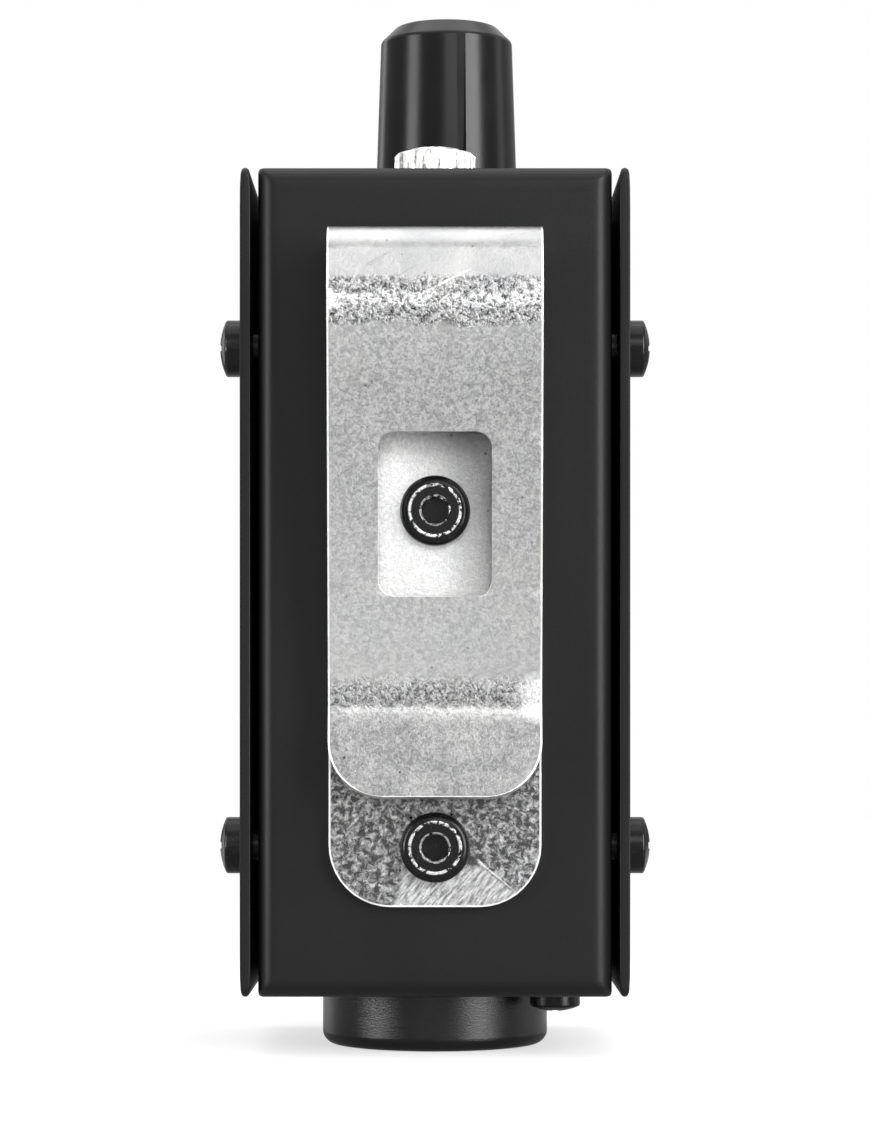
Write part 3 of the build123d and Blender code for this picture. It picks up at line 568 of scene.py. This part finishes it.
def clip_nickel():
    """Dull nickel on spring steel: the leaf in front, the plate behind it, painted highlights along
    the rims.
    """
    m = Finish("clip_nickel", Metallic=1.0)
    x, y, z = m.axis("X"), m.axis("Y"), m.axis("Z")
    flakes = m.ramp(m.noise(1.9, 4.0, 0.68, 0.5), (0.42, 0.0), (0.59, 1.0))
    grains = m.ramp(m.noise(4.5, 3.0, 0.7), (0.40, 0.0), (0.60, 1.0))
    clouds = m.ramp(m.noise(0.22, 3.0, 0.6, 0.8), (0.34, 0.0), (0.66, 1.0))
    mottle = m.plus(m.times(flakes, 0.55), m.times(grains, 0.45))
    height = m.plus(z, m.times(m.minus(m.noise(0.35, 2.0, 0.5), 0.5), 1.3))
    spread = m.profile(height, *LEAF_MOTTLING)

    leaf = leaf_tone(m, x, z, height, spread, mottle, clouds)
    middle = CLIP_DATUM / MM
    plate = m.mix(m.step(z, middle - 14, middle - 6), foot_tone(m, x, z, mottle),
                  window_tone(m, x, z, mottle))
    behind = m.step(y, BACK / MM - 1.35, BACK / MM - 1.15)
    behind = m.times(behind, m.step(z, RIDGE + 4.5, RIDGE + 3.5))
    tone = worn(m, m.mix(behind, leaf, plate))

    # Painted highlights along the leaf's and the plate's sides and round lower corners.
    half = CLIP_HALF / MM
    leaf_rim_highlight = m.outline(x, z, half, LEAF_LOW.z / MM, CLIP_TONGUE_CORNER / MM, RIM_HIGHLIGHT_WIDTH)
    plate_rim_highlight = m.outline(x, z, half, PLATE_LOW.z / MM, CLIP_CORNER / MM, RIM_HIGHLIGHT_WIDTH)
    tone = m.clamped(m.mix(m.mix(behind, leaf_rim_highlight, plate_rim_highlight), tone, RIM_HIGHLIGHT_COLOUR))
    tint = m.mix(clouds, (1.0, 0.995, 0.985, 1), (0.985, 0.99, 1.0, 1))
    rough = m.plus(m.plus(m.times(mottle, 0.10), m.times(clouds, 0.06)), 0.27)
    relief = m.times(mottle, m.plus(m.times(spread, 0.8), 0.15))
    return m.set(Base_Color=m.mix(1.0, tone, tint, "MULTIPLY"), Roughness=rough,
                 Normal=m.bump(relief, 0.035))


HIGHLIGHT_RINGS = ((2.55, 0.26), (1.45, 0.16))   # painted highlight rings: outer radius and width, on a clip screw's head


def black_screw():
    """Glossy black plated steel, with broken rings of bright metallic flecks on the clip screws'
    heads that are painted highlights.
    """
    m = Finish("black_screw", IOR=1.5, Specular_IOR_Level=0.2)
    wear = m.noise(1.6, 4.0, 0.65)
    fine = m.noise(9.0, 2.0)
    rings = 0.0
    # Painted highlight rings on each clip screw's head, broken into bright metallic flecks.
    for z in SCREW_HEIGHTS:
        for radius, width in HIGHLIGHT_RINGS:
            ring = m.minus(m.spot(0, z / MM, radius, 0.08), m.spot(0, z / MM, radius - width, 0.08))
            rings = m.plus(rings, ring)
    broken = m.ramp(m.noise(1.5, 3.0, 0.7, 0.6), (0.44, 0.0), (0.54, 1.0))
    flecks = m.times(rings, broken)
    dull = m.ramp(wear, (0.58, 0.0), (0.78, 1.0))
    colour = m.mix(dull, (0.004, 0.004, 0.0045, 1), (0.018, 0.018, 0.019, 1))
    colour = m.mix(flecks, colour, (0.80, 0.80, 0.79, 1))
    return m.set(Base_Color=colour, Metallic=flecks, Roughness=m.plus(m.times(wear, 0.16), 0.14),
                 Normal=m.bump(m.plus(fine, m.times(flecks, 2.0)), 0.008))


def knob_black():
    """Satin moulded plastic with a faint grain."""
    m = Finish("knob_black", IOR=1.46, Specular_IOR_Level=0.26)
    grain = m.noise(6.0, 3.0, 0.6)
    handling = m.noise(0.22, 3.0, 0.5, 0.4)
    colour = m.mix(handling, (0.0025, 0.0025, 0.0028, 1), (0.005, 0.005, 0.0055, 1))
    rough = m.plus(m.times(handling, 0.1), 0.17)
    return m.set(Base_Color=colour, Roughness=rough, Normal=m.bump(grain, 0.006))


def black_metal():
    """Satin black die-cast shell."""
    m = Finish("black_metal", IOR=1.5, Specular_IOR_Level=0.36)
    grain = m.noise(6.0, 4.0, 0.6)
    wear = m.noise(0.5, 4.0, 0.6, 0.6)
    colour = m.mix(wear, (0.002, 0.002, 0.0022, 1), (0.005, 0.005, 0.0052, 1))
    return m.set(Base_Color=colour, Roughness=m.plus(m.times(wear, 0.1), 0.2),
                 Normal=m.bump(grain, 0.03))


def knurled_nickel():
    """Bright nickel, darkened and dented in long pits."""
    m = Finish("bright_nickel", Metallic=1.0)
    pits = m.ramp(m.noise(1.3, 3.0, 0.65, 0.4, m.stretch(1.0, 1.0, 0.5)), (0.40, 1.0), (0.50, 0.0))
    grain = m.noise(6.0, 3.0, 0.6)
    base = m.mix(m.times(pits, 0.7), (0.88, 0.88, 0.87, 1), (0.10, 0.095, 0.09, 1))
    rough = m.plus(m.times(grain, 0.15), 0.3)
    return m.set(Base_Color=base, Roughness=rough, Normal=m.bump(m.plus(grain, pits), 0.03))


def plated(name, colour, roughness):
    """Plated metal: two tones of the same colour, faint turning marks and pitting."""
    m = Finish(name, Metallic=1.0)
    pits = m.noise(5.0, 4.0, 0.65)
    bands = m.noise(3.0, 2.0, 0.5, 0.0, m.stretch(0.15, 0.15, 3.0))
    dark = tuple(c * 0.85 for c in colour)
    base = m.mix(m.ramp(pits, (0.3, 0.0), (0.7, 1.0)), (*dark, 1), (*colour, 1))
    rough = m.plus(m.times(pits, 0.12), roughness)
    height = m.plus(m.times(pits, 0.6), m.times(bands, 0.4))
    return m.set(Base_Color=base, Roughness=rough, Normal=m.bump(height, 0.008))


def moulded(name, colour, roughness):
    """Moulded plastic or rubber with a fine grain and slight blotches."""
    m = Finish(name, IOR=1.5)
    grain = m.noise(5.0, 3.0, 0.6)
    blotch = m.noise(0.4, 3.0, 0.5)
    dark = tuple(c * 0.7 for c in colour)
    base = m.mix(blotch, (*dark, 1), (*colour, 1))
    rough = m.plus(m.times(grain, 0.15), roughness)
    return m.set(Base_Color=base, Roughness=rough, Normal=m.bump(grain, 0.012))


def phenolic():
    """Brown laminate with a fibrous grain."""
    m = Finish("phenolic", IOR=1.5)
    fibre = m.noise(1.2, 4.0, 0.6, 0.3, m.stretch(0.5, 4.0, 1.0))
    base = m.mix(fibre, (0.20, 0.09, 0.03, 1), (0.42, 0.22, 0.09, 1))
    return m.set(Base_Color=base, Roughness=m.plus(m.times(fibre, 0.2), 0.4),
                 Normal=m.bump(fibre, 0.01))


def floor_paper():
    """White paper that fades out before the horizon."""
    m = Finish("floor_paper", Roughness=0.9, Specular_IOR_Level=0.1)
    fibre = m.noise(0.8, 4.0, 0.6)
    colour = m.mix(fibre, (0.92, 0.92, 0.92, 1), (0.95, 0.95, 0.95, 1))
    away = m.node("VectorMath", operation="LENGTH")
    m.link(m.stretch(1, 1, 0), away.inputs[0])
    metres = m.times(away.outputs["Value"], MM)
    return m.set(Base_Color=colour, Alpha=m.ramp(metres, (0.15, 0.4), (0.75, 0.0)),
                 Normal=m.bump(fibre, 0.01))


FINISHES = {
    "powder_coat": powder_coat(),
    "clip_nickel": clip_nickel(),
    "black_screw": black_screw(),
    "knob_black": knob_black(),
    "black_metal": black_metal(),
    "phenolic": phenolic(),
    "zinc_plated": plated("zinc_plated", (0.60, 0.61, 0.63), 0.28),
    "brass": plated("brass", (0.72, 0.53, 0.25), 0.25),
    "aluminium_shaft": plated("aluminium_shaft", (0.74, 0.75, 0.77), 0.26),
    "tinned": plated("tinned", (0.73, 0.73, 0.71), 0.3),
    "bright_nickel": knurled_nickel(),
    "gold_contact": plated("gold_contact", (0.86, 0.66, 0.28), 0.2),
    "black_moulding": moulded("black_moulding", (0.022, 0.022, 0.022), 0.38),
    "wire_white": moulded("wire_white", (0.78, 0.77, 0.73), 0.4),
    "wire_red": moulded("wire_red", (0.55, 0.03, 0.025), 0.4),
    "wire_black": moulded("wire_black", (0.02, 0.02, 0.02), 0.4),
    "wire_green": moulded("wire_green", (0.05, 0.28, 0.07), 0.4),
}


def dress(piece, slot):
    """Gives a piece its slot's finish."""
    piece.data.materials.clear()
    piece.data.materials.append(FINISHES[slot])


def dress_cad_nodes():
    """Gives every CAD node its slot's finish."""
    for part in frame["record"]["subparts"]:
        node = frame["nodes"][part["node"]]
        node.data.materials.clear()
        node.data.materials.append(FINISHES[part["material_slot"]])


# =======================================================================================
# Case
# =======================================================================================
def tray_profile(low, high, depth, side_depth, bend):
    """(place, depth behind the panel) pairs over a flange, the panel and the other flange."""
    path = BentPath([(depth, low), (0, low), (0, high), (depth, high)], (bend, bend))
    arc_start, arc_length = path.parts[1][:2]
    marks = [0, EASE, FLAT, arc_start + arc_length + FLAT]
    marks += [depth - d for d in (side_depth, side_depth - EASE, side_depth - FLAT,
                                  bend + 2 * MM, bend + 6 * MM)]
    stations = merged(path.stations(15) + marks + [path.length - m for m in marks])
    return [(path.at(s)[0].y, path.at(s)[0].x) for s in stations]


def chassis_surface():
    """Middle surface of the tray: back panel with four bent flanges and closed corners."""
    half = SHEET / 2
    bend = BEND - half
    side = SIDE_FLANGE - half
    columns = tray_profile(CHASSIS_LOW.x + half, CHASSIS_HIGH.x - half, side, side, bend)
    rows = tray_profile(BOTTOM + half, TOP - half, CHASSIS_HIGH.y - BACK - half, side, bend)
    points = [[Vector((x, BACK + half + max(dx, dz), z)) for x, dx in columns] for z, dz in rows]
    flange = bend - NEAR

    def keep(i, j):
        row_depth = min(rows[i][1], rows[i + 1][1])
        column_depth = min(columns[j][1], columns[j + 1][1])
        return row_depth < flange or column_depth < flange

    bm = bmesh.new()
    grid(bm, points, keep)
    bmesh.ops.remove_doubles(bm, verts=bm.verts, dist=NEAR / 2)
    bmesh.ops.recalc_face_normals(bm, faces=bm.faces)
    return bm


def build_chassis():
    """The folded chassis with its holes for the nose, release tab, jack and volume control."""
    piece = rounded(sheet_from(chassis_surface(), "case_back", SHEET))
    nose = (SHELL_LOW + SHELL_HIGH) / 2
    jack = (NUT_LOW + NUT_HIGH) / 2
    knob = (KNOB_LOW + KNOB_HIGH) / 2
    beyond, behind, half = TAB_SLOT
    left, right = TAB_LOW.x - beyond, TAB_HIGH.x + behind
    slot = [(left, -half), (right, -half), (right, half), (left, half)]
    cut(piece, [
        cylinder(nose, NOSE_HOLE, BOTTOM - SHEET, BOTTOM + 2 * SHEET),
        prism(slot, BOTTOM - SHEET, BOTTOM + 2 * SHEET),
        cylinder(jack, JACK_HOLE, TOP - 2 * SHEET, TOP + SHEET),
        cylinder(knob, POT_HOLE, TOP - 2 * SHEET, TOP + SHEET),
    ])
    smooth_by_angle(piece, 50)
    dress(piece, "powder_coat")
    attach(piece, "case")
    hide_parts("rear_chassis")


def build_cover():
    """The U-shaped cover, its edges rounded by the coating."""
    half = SHEET / 2
    bend = BEND - half
    left, right = COVER_LOW.x + half, COVER_HIGH.x - half
    back, front = COVER_LOW.y, COVER_HIGH.y - half
    path = BentPath([(left, back), (left, front), (right, front), (right, back)], (bend, bend))
    bend_start = path.parts[1][0]
    bend_end = bend_start + path.parts[1][1]
    marks = [0, FLAT] + corner_stations(0, 1, COVER_CORNER, 4)
    marks += [bend_start - EASE, bend_start - FLAT, bend_end + EASE, bend_end + FLAT]
    rows = []
    for s in merged(path.stations(15) + marks + [path.length - m for m in marks]):
        point, _ = path.at(s)
        inset = corner_inset(min(s, path.length - s), COVER_CORNER)
        low, high = BOTTOM + inset, TOP - inset
        heights = [low, low + FLAT, MIDDLE, high - FLAT, high]
        rows.append([Vector((point.x, point.y, z)) for z in heights])
    bm = bmesh.new()
    grid(bm, rows, lambda i, j: True)
    piece = rounded(sheet_from(bm, "case_cover", SHEET))
    dress(piece, "powder_coat")
    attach(piece, "case")
    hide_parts("front_cover")


# =======================================================================================
# Belt clip
# =======================================================================================
def clip_path():
    """Centreline of the whole clip as (distance from the back panel, height)."""
    centre = CLIP_SHEET / 2
    top = PLATE_HIGH.z - centre
    points = [(centre, PLATE_LOW.z), (centre, top), (CLIP_FOLD, top), CLIP_RIDGE, CLIP_CREASE,
              CLIP_TONGUE]
    return BentPath(points, CLIP_RADII)


def path_distance(path, height):
    """Distance along the clip at a height on its leaf, found by halving."""
    low, high = path.parts[4][0], path.length
    for _ in range(40):
        middle = (low + high) / 2
        if path.at(middle)[0].y > height:
            low = middle
        else:
            high = middle
    return low


def clip_row(path, s, window):
    """Points across the clip at a distance along it; window is the window's (top, low)."""
    point, _ = path.at(s)
    half = CLIP_HALF - corner_inset(s, CLIP_CORNER)
    half -= corner_inset(path.length - s, CLIP_TONGUE_CORNER)
    inside = min(max(s - window[0], 0), max(window[1] - s, 0))
    inner = WINDOW_HALF - corner_inset(inside, WINDOW_CORNER)
    shares = [i / CLIP_COLUMNS for i in range(CLIP_COLUMNS + 1)]
    right = [inner + (half - inner) * share for share in shares]
    middle = [-inner + 2 * inner * share for share in shares]
    columns = [-x for x in reversed(right)] + middle[1:-1] + right
    return [Vector((x, BACK - point.x, point.y)) for x in columns]


def build_clip():
    """One strip of spring steel: plate, top fold, windowed leaf, crease and tongue."""
    path = clip_path()
    top, low = path_distance(path, WINDOW_SPAN[1]), path_distance(path, WINDOW_SPAN[0])
    extra = corner_stations(0, 1, CLIP_CORNER)
    extra += corner_stations(path.length, -1, CLIP_TONGUE_CORNER)
    extra += corner_stations(top, 1, WINDOW_CORNER, 8)
    extra += corner_stations(low, -1, WINDOW_CORNER, 8)
    stations = merged(path.stations(5) + extra)
    rows = [clip_row(path, s, (top, low)) for s in stations]
    slack = NEAR / 10

    def keep(i, j):
        inside = top - slack < stations[i] < low - slack
        return not (inside and CLIP_COLUMNS <= j < 2 * CLIP_COLUMNS)

    bm = bmesh.new()
    grid(bm, rows, keep)
    piece = sheet_from(bm, "belt_clip", CLIP_SHEET)
    soften(piece, CLIP_EDGE)
    dress(piece, "clip_nickel")
    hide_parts("clip_base_plate", "clip_spring_leaf")
    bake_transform(piece)


# =======================================================================================
# Camera, light and floor
# =======================================================================================
def build_camera():
    """Level camera behind the back panel; a small shift frames the pack."""
    data = bpy.data.cameras.new("camera")
    data.lens = data.sensor_width * FOCAL_RATIO
    data.clip_start = 0.01
    data.clip_end = 20
    data.shift_y = VIEW_SHIFT
    camera = bpy.data.objects.new("camera", data)
    camera.location = (0, BACK - VIEW_DISTANCE, VIEW_HEIGHT)
    camera.rotation_euler = (math.radians(90), 0, 0)
    bpy.context.scene.collection.objects.link(camera)
    bpy.context.scene.camera = camera


def build_world():
    """White behind the pack; a soft dome, brighter overhead, lights it."""
    world = bpy.data.worlds.new("studio")
    bpy.context.scene.world = world
    world.use_nodes = True
    tree = world.node_tree
    tree.nodes.clear()
    output = tree.nodes.new("ShaderNodeOutputWorld")
    path = tree.nodes.new("ShaderNodeLightPath")
    mix = tree.nodes.new("ShaderNodeMixShader")
    dome = tree.nodes.new("ShaderNodeBackground")
    white = tree.nodes.new("ShaderNodeBackground")
    where = tree.nodes.new("ShaderNodeTexCoord")
    split = tree.nodes.new("ShaderNodeSeparateXYZ")
    rise = tree.nodes.new("ShaderNodeMapRange")
    rise.inputs["From Min"].default_value, rise.inputs["From Max"].default_value = DOME_RISE
    rise.inputs["To Min"].default_value = DOME_LOW
    rise.inputs["To Max"].default_value = DOME_HIGH
    white.inputs["Color"].default_value = (1, 1, 1, 1)
    white.inputs["Strength"].default_value = 1.0
    tree.links.new(where.outputs["Generated"], split.inputs[0])
    tree.links.new(split.outputs["Z"], rise.inputs["Value"])
    tree.links.new(rise.outputs["Result"], dome.inputs["Strength"])
    tree.links.new(path.outputs["Is Camera Ray"], mix.inputs[0])
    tree.links.new(dome.outputs[0], mix.inputs[1])
    tree.links.new(white.outputs[0], mix.inputs[2])
    tree.links.new(mix.outputs[0], output.inputs["Surface"])


def softbox(name, azimuth, elevation, distance, size, radiance):
    """Rectangular area light that faces the middle of the case."""
    data = bpy.data.lights.new(name, "AREA")
    data.shape = "RECTANGLE"
    data.size, data.size_y = size
    data.energy = radiance * math.pi * size[0] * size[1]
    a, e = math.radians(azimuth), math.radians(elevation)
    way = Vector((math.sin(a) * math.cos(e), -math.cos(a) * math.cos(e), math.sin(e)))
    light = bpy.data.objects.new(name, data)
    light.location = Vector((0, 0, MIDDLE)) + way * distance
    light.rotation_euler = (-way).to_track_quat("-Z", "Y").to_euler()
    bpy.context.scene.collection.objects.link(light)


# name, azimuth from the camera to the right, elevation, distance, (width, height), radiance
LIGHTS = (
    ("key", 9, 24, 0.9, (0.36, 0.34), 3.2),
    ("front", -6, 3, 0.9, (0.34, 0.20), 1.5),
    ("right", 46, 12, 0.8, (0.34, 0.8), 13.0),
    ("left", -60, 12, 0.8, (0.26, 0.5), 8.0),
    ("left_low", -61, 0, 0.6, (0.14, 0.08), 24.0),
    ("rim_right", 104, 10, 0.8, (0.2, 0.6), 1.2),
    ("rim_left", -138, 12, 0.8, (0.2, 0.6), 1.4),
    ("top", 0, 88, 0.8, (0.9, 0.9), 1.7),
)


def build_floor():
    """Plain pale floor just under the nose."""
    bm = bmesh.new()
    bmesh.ops.create_circle(bm, cap_ends=True, segments=96, radius=0.9)
    floor = object_from(bm, "floor")
    floor.location.z = -0.02 * MM
    floor.data.materials.append(floor_paper())


build_camera()
build_world()
for light in LIGHTS:
    softbox(*light)
build_floor()

dress_cad_nodes()
build_chassis()
build_cover()
build_clip()

bpy.context.scene.view_settings.view_transform = "Standard"
bpy.context.scene.view_settings.look = "None"
